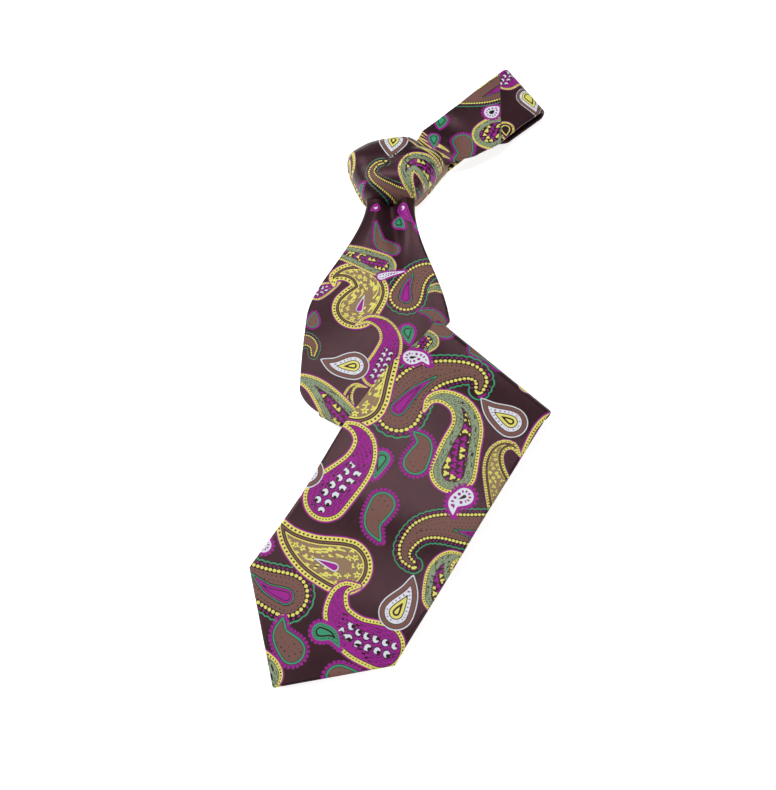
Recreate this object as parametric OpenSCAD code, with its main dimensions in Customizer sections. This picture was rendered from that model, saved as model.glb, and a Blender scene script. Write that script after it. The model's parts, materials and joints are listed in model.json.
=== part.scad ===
// Necktie in jacquard silk, tied in a four-in-hand knot and laid flat, its front blade folded over itself.
// Millimetres. The surface it lies on is z = 0, +Y runs from the tip towards the neck loop, +Z is up.

/* [Cloth] */
// Thickness of one layer of the outer cloth
cloth_t = 0.5; // [0.4:0.05:0.6]
// Thickness of the wool interlining
interlining_t = 1.4; // [1.2:0.1:1.5]
// Gap left between two layers of the folded tie
layer_gap = 0.6; // [0.5:0.05:0.7]

/* [Front blade] */
// Width of the blade at the corners above the tip
blade_w = 94; // [90:1:96]
// Width of the blade where it folds over
fold_w = 88; // [84:1:90]
// Length from the upper fold to the corners above the tip
blade_len = 172; // [165:1:176]
// Height of the pointed tip
tip_h = 44; // [40:1:47]
// Length of the part that lies level before the tip slopes down
level_len = 110; // [100:1:115]
// Slope of the tip part, in degrees
tip_slope = 6.9; // [6:0.1:7]

/* [Neck loop] */
// Width of the band along most of the loop
band_w = 43; // [40:1:45]
// Width of the band where it leaves the knot
band_root_w = 32; // [28:1:34]
// Height of the space between the loop's front and back bands
loop_gap = 5.6; // [5:0.1:5.6]

/* [Knot] */
// Height of the knot's domed front
knot_h = 28; // [26:1:30]
// Rounding of the knot's corners
knot_r = 7.5; // [7:0.1:8]

/* [Tail] */
// Width of the tail blade where it is folded back
tail_w = 36; // [30:1:38]
// Length of tail below the knot, down to its fold
tail_len = 226; // [200:1:230]
// Height of the tail's own pointed tip
tail_tip_h = 17; // [14:1:20]

/* [Hidden] */
$fn = 48;

silk = "#3c2628";
silk_back = "#4a3133";
wool = "#d8d0c0";
lining = "#2c1c20";
thread = "#6b3f58";

strip_t = 2 * cloth_t + interlining_t;
clear = 0.3;
// Parts of the strip's width: the interlining stops short of the edges, and the flaps meet in the middle.
full = [0, 1];
inner = [0.015, 0.985];
flap_gap = 0.003;
flap_halves = [[0, 0.5 - flap_gap], [0.5 + flap_gap, 1]];

// Levels of the folded layers, from the surface upwards
tail_end_z = 0;
back_band_z = 1.5;
tail_z = 2 * strip_t;
hidden_z = tail_z + strip_t + 0.4;
upper_z = hidden_z + strip_t + layer_gap;
front_z = upper_z + strip_t + layer_gap;
front_band_z = back_band_z + strip_t + loop_gap;

// Places in the plan, before layout_shift brings the middle of the outline to the origin
layout_shift = [0.83, 6.79];
blade_heading = 236.4;
blade_start = [43, -32.9] + layout_shift;
upper_fold_heading = -43.3;
lower_fold_mid = [-27.25, -74.5] + layout_shift;
lower_fold_heading = -27;
lower_fold_w = 90.3;
upper_root = [-14.5, 83.5] + layout_shift;
upper_root_w = 31;
flare_len = 88;
tail_heading = 268;
tail_root = [-14.5, 84] + layout_shift;
neck_heading = 43;
neck_root = [11.9, 127.4] + layout_shift;

// Knot outline, clockwise from its upper left corner, and the middle of its dome, which has two round crowns
knot_corners = [for (p = [[-44.4, 119.5], [-22.8, 134.2], [-1.3, 137.1], [25.1, 117.6], [1.6, 84.9], [-30.7, 85.3]])
    p + layout_shift];
knot_middle = [-9, 110] + layout_shift;
knot_dome_r = 15;
knot_dome_apart = 9;
knot_sides_top = 13.3;
knot_back_top = 4.6;

// Neck loop, measured along the band from neck_root, with sideways distances to its right
near_start = 4.5;
mid_bend = 41.4;
loop_end = 79.5;
band_offset = 5;
end_skew = 4;

// Tail inside the knot, and the plain length that slides into the knot as the loop opens
tail_hold = 22;
tail_root_w = 26;
back_hold = 6;
back_plain = 34;
back_plain_w = 30;
slot_depth = 32;

// Trim
keeper_at = 84;
keeper_len = 12;
keeper_w = 50;
keeper_t = 0.6;
keeper_drop = 5.5;
flap_split = 22;
seam_w = 1.2;
seam_h = 0.25;
stitch_t = 0.3;

function dir(a) = [cos(a), sin(a)];
// A point at distance u along a heading and v to its left
function at(start, heading, u, v) = start + u * dir(heading) + v * dir(heading + 90);
// The two ends of a line across the tie
function line_across(middle, heading, w) = [middle - w / 2 * dir(heading), middle + w / 2 * dir(heading)];
function across(row, f) = row[0] + f * (row[1] - row[0]);
function ribbon(rows, part) = concat(
    [for (r = rows) across(r, part[0])],
    [for (i = [len(rows) - 1:-1:0]) across(rows[i], part[1])]
);
function ease(t) = t * t * (3 - 2 * t);

// One layer of the strip: a flat sheet between lines across the tie, over part of its width
module layer(rows, z, thickness, part = full)
    translate([0, 0, z]) linear_extrude(thickness) polygon(ribbon(rows, part));

module flap_pair(rows, z) {
    for (half = flap_halves) layer(rows, z, cloth_t, half);
}

// The face layer is on top where the tie lies face up, and at the bottom where it is turned over.
module face(rows, z, up = true) layer(rows, up ? z + strip_t - cloth_t : z, cloth_t);
module filling(rows, z) layer(rows, z + cloth_t, interlining_t, inner);
module flaps(rows, z, up = true) flap_pair(rows, up ? z : z + strip_t - cloth_t);

// A rolled fold: half a tube along a line across the tie, from the level low_z to high_z, bulging to its left
module rolled_fold(line, low_z, high_z) {
    outer = (high_z + strip_t - low_z) / 2;
    run = line[1] - line[0];
    translate([line[0].x, line[0].y, low_z + outer])
        rotate([0, 0, atan2(run.y, run.x)])
            rotate([90, 0, 90])
                linear_extrude(norm(run))
                    difference() {
                        circle(outer);
                        circle(outer - strip_t);
                        translate([-2 * outer, -2 * outer]) square([2 * outer, 4 * outer]);
                    }
}

// Lines across the tie where its sections meet
upper_fold_line = line_across(blade_start, upper_fold_heading, fold_w);
lower_fold_line = line_across(lower_fold_mid, lower_fold_heading, lower_fold_w);
bend_w = fold_w + (blade_w - fold_w) * level_len / blade_len;
function blade_line(u, w, skew = 0) = [
    at(blade_start, blade_heading, u - skew, -w / 2),
    at(blade_start, blade_heading, u + skew, w / 2)
];
function neck_line(u, v_left, v_right, skew = 0) = [
    at(neck_root, neck_heading, u + skew, v_left),
    at(neck_root, neck_heading, u - skew, -v_right)
];
neck_left = band_root_w / 2;
neck_right = band_w / 2 + band_offset;
neck_end_line = neck_line(loop_end, neck_left, neck_right, end_skew);

// ---- Knot ----

// The knot as one rounded solid, smaller all round by inset
module knot_solid(inset) intersection() {
    hull() {
        for (p = knot_corners) {
            pull = knot_middle - p;
            centre = p + knot_r * pull / norm(pull);
            translate([centre.x, centre.y, knot_r]) sphere(knot_r - inset, $fn = 24);
        }
        for (side = [-1, 1])
            translate([knot_middle.x + side * knot_dome_apart, knot_middle.y, knot_h - knot_dome_r])
                sphere(knot_dome_r - inset, $fn = 32);
    }
    translate([-100, 0, 0]) cube([200, 200, 2 * knot_h]);
}

// Ways through the knot for the tail and for the back of the neck loop
module tail_way(w, z, h)
    translate([tail_root.x, tail_root.y, z])
        rotate(tail_heading)
            translate([-tail_hold - 1, -w / 2, 0]) cube([tail_hold + 20, w, h]);

module band_way(w, z, h)
    translate([neck_root.x, neck_root.y, z])
        rotate(neck_heading)
            translate([-slot_depth, -w / 2, 0]) cube([slot_depth + 30, w, h]);

module knot_ways() {
    tail_way(tail_root_w + 3, tail_z - clear, strip_t + 2 * clear);
    band_way(back_plain_w + 2, 1.1, strip_t + 1);
}

module knot_layer(low, high) difference() {
    intersection() {
        difference() {
            knot_solid(0);
            knot_solid(strip_t);
        }
        translate([-100, 0, low]) cube([200, 200, high - low]);
    }
    knot_ways();
}

module knot_front_wrap() color(silk) knot_layer(knot_sides_top, knot_h + 1);
module knot_side_wrap() color(silk) knot_layer(knot_back_top, knot_sides_top);
module knot_back_wrap() color(silk) difference() {
    intersection() {
        knot_solid(0);
        translate([-100, 0, 0]) cube([200, 200, knot_back_top]);
        union() {
            translate([-100, 0, 0]) cube([200, 200, 1.1]);
            difference() {
                knot_solid(0);
                knot_solid(strip_t);
            }
        }
    }
    knot_ways();
}
module knot_core() color(silk_back) difference() {
    intersection() {
        knot_solid(strip_t);
        translate([-100, 0, strip_t]) cube([200, 200, knot_h]);
    }
    knot_ways();
}

// ---- Upper blade, from the knot to the lower fold ----

upper_steps = 16;
upper_span = norm(lower_fold_mid - upper_root);
// How far the upper blade's right edge draws in to pass inside the end of the upper fold, at share t of its length
function upper_tuck(t) = 13 * ease(max(0, min(1, (t - 0.34) / 0.14))) * (1 - ease(max(0, (t - 0.6) / 0.4)));
// Line across the upper blade at share t of its length. It flares below the knot and turns into the fold line.
function upper_line(t) =
    let (
        flare = ease(min(1, t * upper_span / flare_len)),
        w = upper_root_w + (lower_fold_w - 4 - upper_root_w) * flare + 4 * t * t,
        sag = [-0.5 * sin(180 * t), 0],
        middle = upper_root + t * (lower_fold_mid - upper_root) + sag,
        line = line_across(middle, lower_fold_heading * t * t - 2 * (1 - t), w)
    )
    [line[0], line[1] - [upper_tuck(t), 0]];
upper_rows = [for (i = [0:upper_steps]) upper_line(i / upper_steps)];

module upper_blade_shell() color(silk) face(upper_rows, upper_z);
module upper_blade_interlining() color(wool) filling(upper_rows, upper_z);
module upper_blade_flaps() color(silk_back) flaps(upper_rows, upper_z);
module lower_fold() color(silk)
    rolled_fold([lower_fold_line[1], lower_fold_line[0]], hidden_z, upper_z);

// ---- Hidden blade, between the two folds ----

hidden_rows = [[lower_fold_line[0], lower_fold_line[1]], [upper_fold_line[0], upper_fold_line[1]]];

module hidden_blade_shell() color(silk) face(hidden_rows, hidden_z, up = false);
module hidden_blade_interlining() color(wool) filling(hidden_rows, hidden_z);
module hidden_blade_flaps() color(silk_back) flaps(hidden_rows, hidden_z, up = false);
module upper_fold() color(silk) rolled_fold(upper_fold_line, hidden_z, front_z);

// ---- Front blade, on top ----

front_rows = [[upper_fold_line[1], upper_fold_line[0]], [blade_line(level_len, bend_w)[1], blade_line(level_len, bend_w)[0]]];

module front_blade_shell() color(silk) face(front_rows, front_z);
module front_blade_interlining() color(wool) filling(front_rows, front_z);
module front_blade_flaps() color(silk_back) flaps(front_rows, front_z);

// Places children on the blade's centre line, x along the blade and z up
module on_blade(u, z)
    translate([blade_start.x, blade_start.y, z]) rotate(blade_heading) translate([u, 0, 0]) children();

module front_slip_stitch() color(thread)
    on_blade(8, front_z - stitch_t) translate([0, -stitch_t, 0]) cube([keeper_at - 12, 2 * stitch_t, stitch_t]);

module keeper_loop() color(lining)
    on_blade(keeper_at, front_z - keeper_drop) difference() {
        translate([0, -keeper_w / 2, 0]) cube([keeper_len, keeper_w, keeper_drop]);
        translate([-1, keeper_t * 3 - keeper_w / 2, keeper_t])
            cube([keeper_len + 2, keeper_w - 6 * keeper_t, keeper_drop - 1.5 * keeper_t]);
    }

// ---- Tip part, which slopes down to the surface ----

tip_start = level_len + clear;
tip_corner = blade_len;
tip_point = blade_len + tip_h;
bend_half = bend_w / 2;
corner_half = blade_w / 2;
split_at = tip_start + flap_split;

// Places children at the bend, turned down by the slope, with x measured along the blade
module on_tip(z)
    translate([blade_start.x, blade_start.y, front_z])
        rotate(blade_heading)
            translate([level_len, 0, 0])
                rotate([0, tip_slope, 0])
                    translate([-level_len, 0, z]) children();

module tip_sheet(z, thickness, edge)
    on_tip(z) linear_extrude(thickness) polygon([
        [tip_start, -bend_half + edge],
        [tip_corner, -corner_half + edge],
        [tip_point - 1.4 * edge, 0],
        [tip_corner, corner_half - edge],
        [tip_start, bend_half - edge]
    ]);

module tip_shell() color(silk) tip_sheet(strip_t - cloth_t, cloth_t, 0);
module tip_interlining() color(wool) tip_sheet(cloth_t, interlining_t, 1.4);
module tip_flaps() color(silk_back)
    for (side = [-1, 1])
        on_tip(0) linear_extrude(cloth_t) polygon([
            [tip_start, side * clear],
            [split_at, side * clear],
            [tip_corner, side * (corner_half - 8)],
            [tip_point - 8, side * clear],
            [tip_point, side * clear],
            [tip_corner, side * corner_half],
            [tip_start, side * bend_half]
        ]);
module tip_lining() color(lining)
    on_tip(cloth_t / 4) linear_extrude(cloth_t / 2) polygon([
        [split_at + clear, 0],
        [tip_corner, 8 + clear - corner_half],
        [tip_point - 8 - clear, 0],
        [tip_corner, corner_half - 8 - clear]
    ]);
module tip_bar_tack() color(thread)
    on_tip(-stitch_t) translate([split_at - 2, -4, 0]) cube([1.2, 8, stitch_t]);

// ---- Neck loop ----

near_rows = [neck_line(near_start, neck_left, neck_left), neck_line(mid_bend - clear, neck_left, neck_right)];
far_rows = [neck_line(mid_bend, neck_left, neck_right), neck_end_line];
back_rows = [
    neck_line(-back_hold, back_plain_w / 2, back_plain_w / 2),
    neck_line(back_plain, back_plain_w / 2, back_plain_w / 2),
    neck_line(back_plain + 12, neck_left - 1, neck_right - 1),
    neck_end_line
];

module neck_near_shell() color(silk) face(near_rows, front_band_z);
module neck_near_interlining() color(wool) filling(near_rows, front_band_z);
module neck_near_flaps() color(silk_back) flaps(near_rows, front_band_z);
module neck_far_shell() color(silk) face(far_rows, front_band_z);
module neck_far_interlining() color(wool) filling(far_rows, front_band_z);
module neck_far_flaps() color(silk_back) flaps(far_rows, front_band_z);
module neck_join_seam() color(thread)
    layer([
        [at(neck_root, neck_heading, loop_end - 2, 13), at(neck_root, neck_heading, loop_end - 2 + seam_w, 13)],
        [at(neck_root, neck_heading, mid_bend + 4, -20), at(neck_root, neck_heading, mid_bend + 4 + seam_w, -20)]
    ], front_band_z + strip_t, seam_h);
module neck_fold() color(silk)
    rolled_fold(neck_end_line, back_band_z, front_band_z);
module neck_back_shell() color(silk) face(back_rows, back_band_z, up = false);
module neck_back_interlining() color(wool) filling(back_rows, back_band_z);
module neck_back_flaps() color(silk_back) flaps(back_rows, back_band_z, up = false);

// ---- Tail blade, under the front blade, folded back once ----

function tail_line(u, w) = [at(tail_root, tail_heading, u, w / 2), at(tail_root, tail_heading, u, -w / 2)];
tail_point = 24;
tail_corner = tail_point + tail_tip_h;
tail_rows = [
    tail_line(-tail_hold, tail_root_w),
    tail_line(18, tail_root_w),
    tail_line(tail_len, tail_w)
];
tail_end_rows = [tail_line(tail_corner + 4, tail_w + 4), tail_line(tail_len, tail_w)];

module tail_shell() color(silk) face(tail_rows, tail_z);
module tail_interlining() color(wool) filling(tail_rows, tail_z);
module tail_flaps() color(silk_back) flaps(tail_rows, tail_z);
module tail_fold() color(silk)
    rolled_fold(tail_rows[2], tail_end_z, tail_z);

tail_end_outline = [
    at(tail_root, tail_heading, tail_len, -tail_w / 2),
    at(tail_root, tail_heading, tail_corner, -tail_w / 2 - 2),
    at(tail_root, tail_heading, tail_point, 0),
    at(tail_root, tail_heading, tail_corner, tail_w / 2 + 2),
    at(tail_root, tail_heading, tail_len, tail_w / 2)
];
module tail_end_shell() color(silk) linear_extrude(cloth_t) polygon(tail_end_outline);
module tail_end_interlining() color(wool) filling(tail_end_rows, tail_end_z);
module tail_end_flaps() color(silk_back) flaps(tail_end_rows, tail_end_z, up = false);
module tail_lining() color(lining)
    translate([0, 0, strip_t - cloth_t])
        linear_extrude(cloth_t)
            polygon([
                at(tail_root, tail_heading, tail_corner + 4 - clear, -tail_w / 2),
                at(tail_root, tail_heading, tail_point + 4, 0),
                at(tail_root, tail_heading, tail_corner + 4 - clear, tail_w / 2)
            ]);
module tail_bar_tack() color(thread)
    translate([tail_root.x, tail_root.y, strip_t])
        rotate(tail_heading)
            translate([tail_corner + 12, -3, 0]) cube([1.2, 6, stitch_t]);

knot_front_wrap();
knot_side_wrap();
knot_back_wrap();
knot_core();
upper_blade_shell();
upper_blade_interlining();
upper_blade_flaps();
lower_fold();
hidden_blade_shell();
hidden_blade_interlining();
hidden_blade_flaps();
upper_fold();
front_blade_shell();
front_blade_interlining();
front_blade_flaps();
front_slip_stitch();
keeper_loop();
tip_shell();
tip_interlining();
tip_flaps();
tip_lining();
tip_bar_tack();
neck_near_shell();
neck_near_interlining();
neck_near_flaps();
neck_far_shell();
neck_far_interlining();
neck_far_flaps();
neck_join_seam();
neck_fold();
neck_back_shell();
neck_back_interlining();
neck_back_flaps();
tail_shell();
tail_interlining();
tail_flaps();
tail_fold();
tail_end_shell();
tail_end_interlining();
tail_end_flaps();
tail_lining();
tail_bar_tack();
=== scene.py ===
"""Looks of a jacquard silk necktie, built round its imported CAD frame.

The tie is one strip of cloth folded round a wool interlining. Each stretch of it is swept from lines across
the tie, and carries its own cloth coordinates, on which a paisley of botehs is laid thread colour by colour.
Lengths are in millimetres until a mesh is made.
"""
import json
import math

import bpy
import numpy as np
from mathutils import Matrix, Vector


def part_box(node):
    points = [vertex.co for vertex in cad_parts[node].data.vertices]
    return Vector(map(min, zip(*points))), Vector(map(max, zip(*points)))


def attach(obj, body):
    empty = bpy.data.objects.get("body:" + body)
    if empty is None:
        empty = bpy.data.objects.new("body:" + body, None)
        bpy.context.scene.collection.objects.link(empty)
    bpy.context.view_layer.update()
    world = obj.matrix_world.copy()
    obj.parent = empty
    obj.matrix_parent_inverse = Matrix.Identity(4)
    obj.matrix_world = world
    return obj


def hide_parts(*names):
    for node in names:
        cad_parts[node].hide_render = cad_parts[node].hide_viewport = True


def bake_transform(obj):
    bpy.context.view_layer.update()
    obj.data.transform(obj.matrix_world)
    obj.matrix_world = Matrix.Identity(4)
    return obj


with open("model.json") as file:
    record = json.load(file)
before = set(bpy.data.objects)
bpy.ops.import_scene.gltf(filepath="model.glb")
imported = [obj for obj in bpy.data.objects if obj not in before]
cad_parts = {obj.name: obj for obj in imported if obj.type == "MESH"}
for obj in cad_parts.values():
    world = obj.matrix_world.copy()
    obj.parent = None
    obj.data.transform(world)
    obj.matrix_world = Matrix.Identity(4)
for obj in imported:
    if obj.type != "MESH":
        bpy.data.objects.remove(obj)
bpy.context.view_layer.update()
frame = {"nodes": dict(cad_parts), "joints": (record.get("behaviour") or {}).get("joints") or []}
joints = {joint["name"]: joint for joint in frame["joints"]}

MM = 0.001

# ---- Sizes of the cloth, as the frame has them ----

HALF_T = 1.2
EDGE = 1.7
FOLD_W = 88.0
BLADE_W = 94.0
BLADE_LEN = 172.0
TIP_H = 44.0
LEVEL_LEN = 110.0
TIP_SLOPE = math.radians(6.9)
UPPER_ROOT_W = 31.0
LOWER_FOLD_W = 90.3
LOWER_FOLD_HEADING = -27.0
FLARE_LEN = 88.0
BAND_LEFT = 16.0
BAND_RIGHT = 26.5
BAND_ROOT = 16.0
NEAR_START = 4.5
MID_BEND = 41.4
LOOP_END = 79.5
END_SKEW = 4.0
TAIL_W = 36.0
TAIL_ROOT_W = 26.0
TAIL_LEN = 226.0
TAIL_HOLD = 22.0
TAIL_POINT = 24.0
TAIL_CORNER = 41.0

# Middle levels of the folded layers
UPPER_Z = 11.8
HIDDEN_Z = 8.8
FRONT_Z = 14.8
BAND_Z = 10.7
BACK_BAND_Z = 2.7
TAIL_Z = 6.0
TAIL_END_Z = 1.2

# Where the visual model is cut into pieces, along the front blade and along the band
PIECE_SPLIT = 100.0
NEAR_SPLIT = 30.0
FAR_SPLIT = 68.0
# The blades stop this far short of their points, which keeps their last ring open
BLUNT = 0.4

# Spacing of the mesh on the shown face, round a fold, and elsewhere
FINE = 0.5
ROLL_STEP = 0.6
MEDIUM = 0.9
COARSE = 2.5


def turned(v):
    """A plan direction turned a quarter turn to the left."""
    return np.array([-v[1], v[0]])


def heading(degrees):
    angle = math.radians(degrees)
    return np.array([math.cos(angle), math.sin(angle)])


def joint_place(name):
    return np.array(joints[name]["pos_m"][:2]) / MM


def joint_axis(name):
    return np.array(joints[name]["axis"][:2])


def ease(t):
    """0 below 0, 1 above 1, and smooth between."""
    t = np.clip(t, 0, 1)
    return t * t * (3 - 2 * t)


def hump(distance, width):
    """1 at no distance, falling smoothly to nothing over about twice the width."""
    return np.exp(-(distance / width) ** 2)


# Plan directions along each stretch, and where each starts, from the joints
blade_left = -joint_axis("tip_lift")
blade_dir = -turned(blade_left)
blade_start = joint_place("tip_lift") - LEVEL_LEN * blade_dir
upper_root = joint_place("blade_lift")
tail_dir = joint_axis("tail_slide")
tail_root = upper_root + np.array([0, 0.5])
band_dir = turned(joint_axis("loop_open"))
band_root = joint_place("loop_open") - NEAR_START * band_dir
lower_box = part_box("lower_fold")
lower_dir = heading(LOWER_FOLD_HEADING)
lower_fold_mid = np.array([lower_box[1].x, lower_box[1].y]) / MM
lower_fold_mid = lower_fold_mid - LOWER_FOLD_W / 2 * np.array([lower_dir[0], -lower_dir[1]])
knot_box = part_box("knot_front_wrap")
knot_middle = np.array([knot_box[0].x + knot_box[1].x, knot_box[0].y + knot_box[1].y]) / 2 / MM


# ---- Lines across the tie: a stretch is a list of them, in order along it ----

def line(left, right, up, flat_left, flat_right):
    """A line across the tie: both ends, the face's normal, and the ends' cloth coordinates."""
    return [np.asarray(v, float) for v in (left, right, up, flat_left, flat_right)]


def plan(point, z):
    return np.array([point[0], point[1], z])


def level_line(left, right, z, up, flat_left, flat_right):
    """A line between two plan points at level z. Its face is up where up is 1 and down where it is -1."""
    return line(plan(left, z), plan(right, z), (0, 0, up), flat_left, flat_right)


def spaced(start, stop, step):
    """Places from start to stop, evenly spaced and about a step apart."""
    count = round(abs(stop - start) / step)
    return [start + (stop - start) * i / count for i in range(count + 1)]


def beside_line(row, towards, share=0.06):
    return [a + share * (b - a) for a, b in zip(row, towards)]


def held(rows):
    """The same lines with one more close beside each end, so that the faces stay level up to the cut."""
    return [rows[0], beside_line(rows[0], rows[1])] + rows[1:-1] + [beside_line(rows[-1], rows[-2]), rows[-1]]


def roll(left, right, bulge, z_from, z_to, flat_left, flat_right, flat_dir, step=ROLL_STEP, right_out=1.0):
    """
    Lines round a rolled fold, from level z_from to z_to. Its face is outside, and up at the higher level.
    Its right end stands out by the share right_out of what its left end does.
    """
    rows = []
    rising = z_from < z_to
    radius = abs(z_to - z_from) / 2
    middle = (z_to + z_from) / 2
    count = max(8, round(math.pi * radius / step))
    for i in range(count + 1):
        phi = math.pi * i / count
        if rising:
            phi = math.pi - phi
        out = np.array([bulge[0] * math.sin(phi), bulge[1] * math.sin(phi), math.cos(phi)])
        shift = out * radius + np.array([0, 0, middle])
        shift_right = shift * [right_out, right_out, 1]
        travel = flat_dir * radius * math.pi * (i / count - rising)
        rows.append(line(
            plan(left, 0) + shift, plan(right, 0) + shift_right, out, flat_left + travel, flat_right + travel,
        ))
    return rows


# ---- Meshes ----

def ring_profile(width, edge, face_step, back_step):
    """Shares of the half width and half thickness, round the tie from its left edge over the face."""
    curve = [math.radians(a) for a in (0, 22, 45, 68)]
    share = edge / (width / 2)
    faces = max(4, round((width - 2 * edge) / face_step))
    backs = max(4, round((width - 2 * edge) / back_step))
    side = [(1 - share + share * math.cos(a), math.sin(a)) for a in curve]
    top = [((1 - share) * (1 - 2 * i / faces), 1.0) for i in range(faces + 1)]
    under = [((1 - share) * (2 * i / backs - 1), -1.0) for i in range(backs + 1)]
    ring = side + top + [(-x, y) for x, y in reversed(side)]
    ring += [(-x, -y) for x, y in side[1:]] + under + [(x, -y) for x, y in reversed(side[1:])]
    return np.array(ring)


def sweep(rows, width, face_step, back_step, half_t=HALF_T, edge=EDGE, inset=0.0, lap=0.35):
    """Rings of points round the rows, their cloth coordinates, and which of them are on the face."""
    x, y = ring_profile(width, edge, face_step, back_step).T
    left, right, up, flat_left, flat_right = [np.array(column) for column in zip(*rows)]
    middle = (left + right) / 2
    half = (left - right) / 2
    flat_middle = (flat_left + flat_right) / 2
    flat_half = (flat_left - flat_right) / 2
    half_width = np.linalg.norm(half, axis=1)[:, None]
    keep = np.clip(1 - inset / np.maximum(half_width, 1e-6), 0.05, 1)
    # The edge keeps its rounding where the strip is wider or narrower than the nominal width
    inner = 1 - edge / (width / 2)
    reach = np.abs(x)
    edge_share = np.minimum(0.9, edge / np.maximum(half_width, 1e-6))
    beyond = (reach - inner) / (1 - inner)
    placed = (1 - edge_share) + edge_share * beyond
    scale = np.where(reach <= inner + 1e-9, (1 - edge_share) / inner, placed / np.maximum(reach, 1e-6))
    across = x * scale * keep
    thin = np.clip(half_width / 4, 0.15, 1)
    # The flap from the right laps over the one from the left along the middle of the back
    distance = across * half_width
    overlap = np.where((y < 0) & (distance > 0.4), lap * thin, 0) * ease(distance / 1.2)
    thick = y * half_t * thin + overlap
    points = middle[:, None, :] + half[:, None, :] * across[:, :, None] + up[:, None, :] * thick[:, :, None]
    # The cloth turns round the pressed edge, so its coordinates run on past the width and come back
    over = np.where(y < 0, 2 * np.sign(x) - x, x)
    flat = flat_middle[:, None, :] + flat_half[:, None, :] * over[None, :, None]
    return points, flat, np.repeat((y >= 0)[None, :], len(rows), axis=0)


def mesh_object(name, points, faces, caps=0):
    """A Blender object from points in millimetres, smooth apart from the last faces, its caps."""
    mesh = bpy.data.meshes.new(name)
    mesh.from_pydata(np.reshape(points, (-1, 3)) * MM, [], faces)
    mesh.polygons.foreach_set("use_smooth", [i < len(faces) - caps for i in range(len(faces))])
    mesh.validate()
    obj = bpy.data.objects.new(name, mesh)
    bpy.context.scene.collection.objects.link(obj)
    return obj


def ring_faces(rings, per_ring):
    """Quads between neighbouring rings of points."""
    start = np.arange(rings - 1)[:, None] * per_ring
    here = (start + np.arange(per_ring)).reshape(-1)
    after = (start + (np.arange(per_ring) + 1) % per_ring).reshape(-1)
    return np.column_stack([here, after, after + per_ring, here + per_ring])


def envelope(name, points):
    """A closed piece from rings of points, with a cap on each end."""
    rings, per_ring = points.shape[:2]
    quads = ring_faces(rings, per_ring)[:, [0, 3, 2, 1]]
    first = list(range(per_ring))
    last = [(rings - 1) * per_ring + j for j in reversed(range(per_ring))]
    return mesh_object(name, points, quads.tolist() + [first, last], caps=2)


def thicken(obj, thickness, offset):
    solid = obj.modifiers.new("thickness", "SOLIDIFY")
    solid.thickness = thickness * MM
    solid.offset = offset


# ---- Paisley ----

THREADS = ("brown", "sage", "magenta", "teal", "yellow", "white", "dark", "olive")
# The colour attributes that hold how far each thread covers a vertex, four threads in each
COVER_LAYERS = {"threads_a": THREADS[:4], "threads_b": THREADS[4:]}
# Width over which a thread's cover fades at its outline
RAMP = 1.1


class Canvas:
    """How far each vertex lies inside each thread colour: 0.5 at its outline, 1 well inside, 0 outside."""

    def __init__(self, flat):
        self.flat = flat.reshape(-1, 2)
        self.cover = np.zeros((len(self.flat), len(THREADS)))

    def lay(self, index, thread, inside):
        """Lays a thread, or bare ground, over what is there, where the distance inside is above 0."""
        share = np.clip(0.5 + inside / RAMP, 0, 1)
        cover = np.minimum(self.cover[index], (1 - share)[:, None])
        if thread != "ground":
            k = THREADS.index(thread)
            cover[:, k] = np.maximum(self.cover[index, k], share)
        self.cover[index] = cover

    def store(self, obj):
        start = 0
        for name, threads in COVER_LAYERS.items():
            layer = obj.data.color_attributes.new(name, "FLOAT_COLOR", "POINT")
            cover = self.cover[:, start:start + len(threads)]
            layer.data.foreach_set("color", cover.astype(np.float32).ravel())
            start += len(threads)


def boteh_spine(path, radius, fullness, tip=0.07):
    """Circles swept along a smooth curve through the path, head first: their centres and radii."""
    ends = np.vstack([2 * path[0] - path[1], path, 2 * path[-1] - path[-2]])
    fine = []
    for before, start, end, after in zip(ends[:-3], ends[1:-2], ends[2:-1], ends[3:]):
        for t in np.linspace(0, 1, 10, endpoint=False):
            bend = (2 * before - 5 * start + 4 * end - after) * t ** 2
            twist = (3 * start - before - 3 * end + after) * t ** 3
            fine.append((2 * start + (end - before) * t + bend + twist) / 2)
    fine = np.array(fine + [path[-1]])
    steps = np.linalg.norm(np.diff(fine, axis=0), axis=1)
    travelled = np.concatenate([[0], np.cumsum(steps)])
    share = np.linspace(0, 1, 24)
    centres = np.column_stack([np.interp(share * travelled[-1], travelled, column) for column in fine.T])
    radii = radius * (tip + (1 - tip) * (1 - share ** fullness) ** 0.95)
    return centres, radii


def boteh_outline(centres, radii):
    """Points round the outline: up one side to the tip, back down the other, and round the head."""
    run = np.gradient(centres, axis=0)
    step = np.linalg.norm(run, axis=1)
    run = run / step[:, None]
    lean = np.clip(np.gradient(radii) / step, -0.95, 0.95)[:, None]
    side = np.column_stack([-run[:, 1], run[:, 0]])
    spread = radii[:, None] * np.sqrt(1 - lean ** 2)
    back = radii[:, None] * lean * run
    left = centres + side * spread - back
    right = centres - side * spread - back
    start = math.atan2(*(right[0] - centres[0])[::-1])
    end = math.atan2(*(left[0] - centres[0])[::-1])
    angles = start - np.linspace(0, 1, 20)[1:-1] * ((start - end) % (2 * math.pi))
    head = centres[0] + radii[0] * np.column_stack([np.cos(angles), np.sin(angles)])
    return np.vstack([left, right[::-1], head, left[:1]])


def beside(points, start, end):
    """A segment's length, and each point's share of the way along it, distance from it and side offset."""
    run = end - start
    length = math.hypot(*run)
    to = points - start
    share = to @ run / length ** 2
    gap = to - np.clip(share, 0, 1)[:, None] * run
    offset = (run[0] * to[:, 1] - run[1] * to[:, 0]) / length
    return length, share, np.hypot(gap[:, 0], gap[:, 1]), offset


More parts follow.
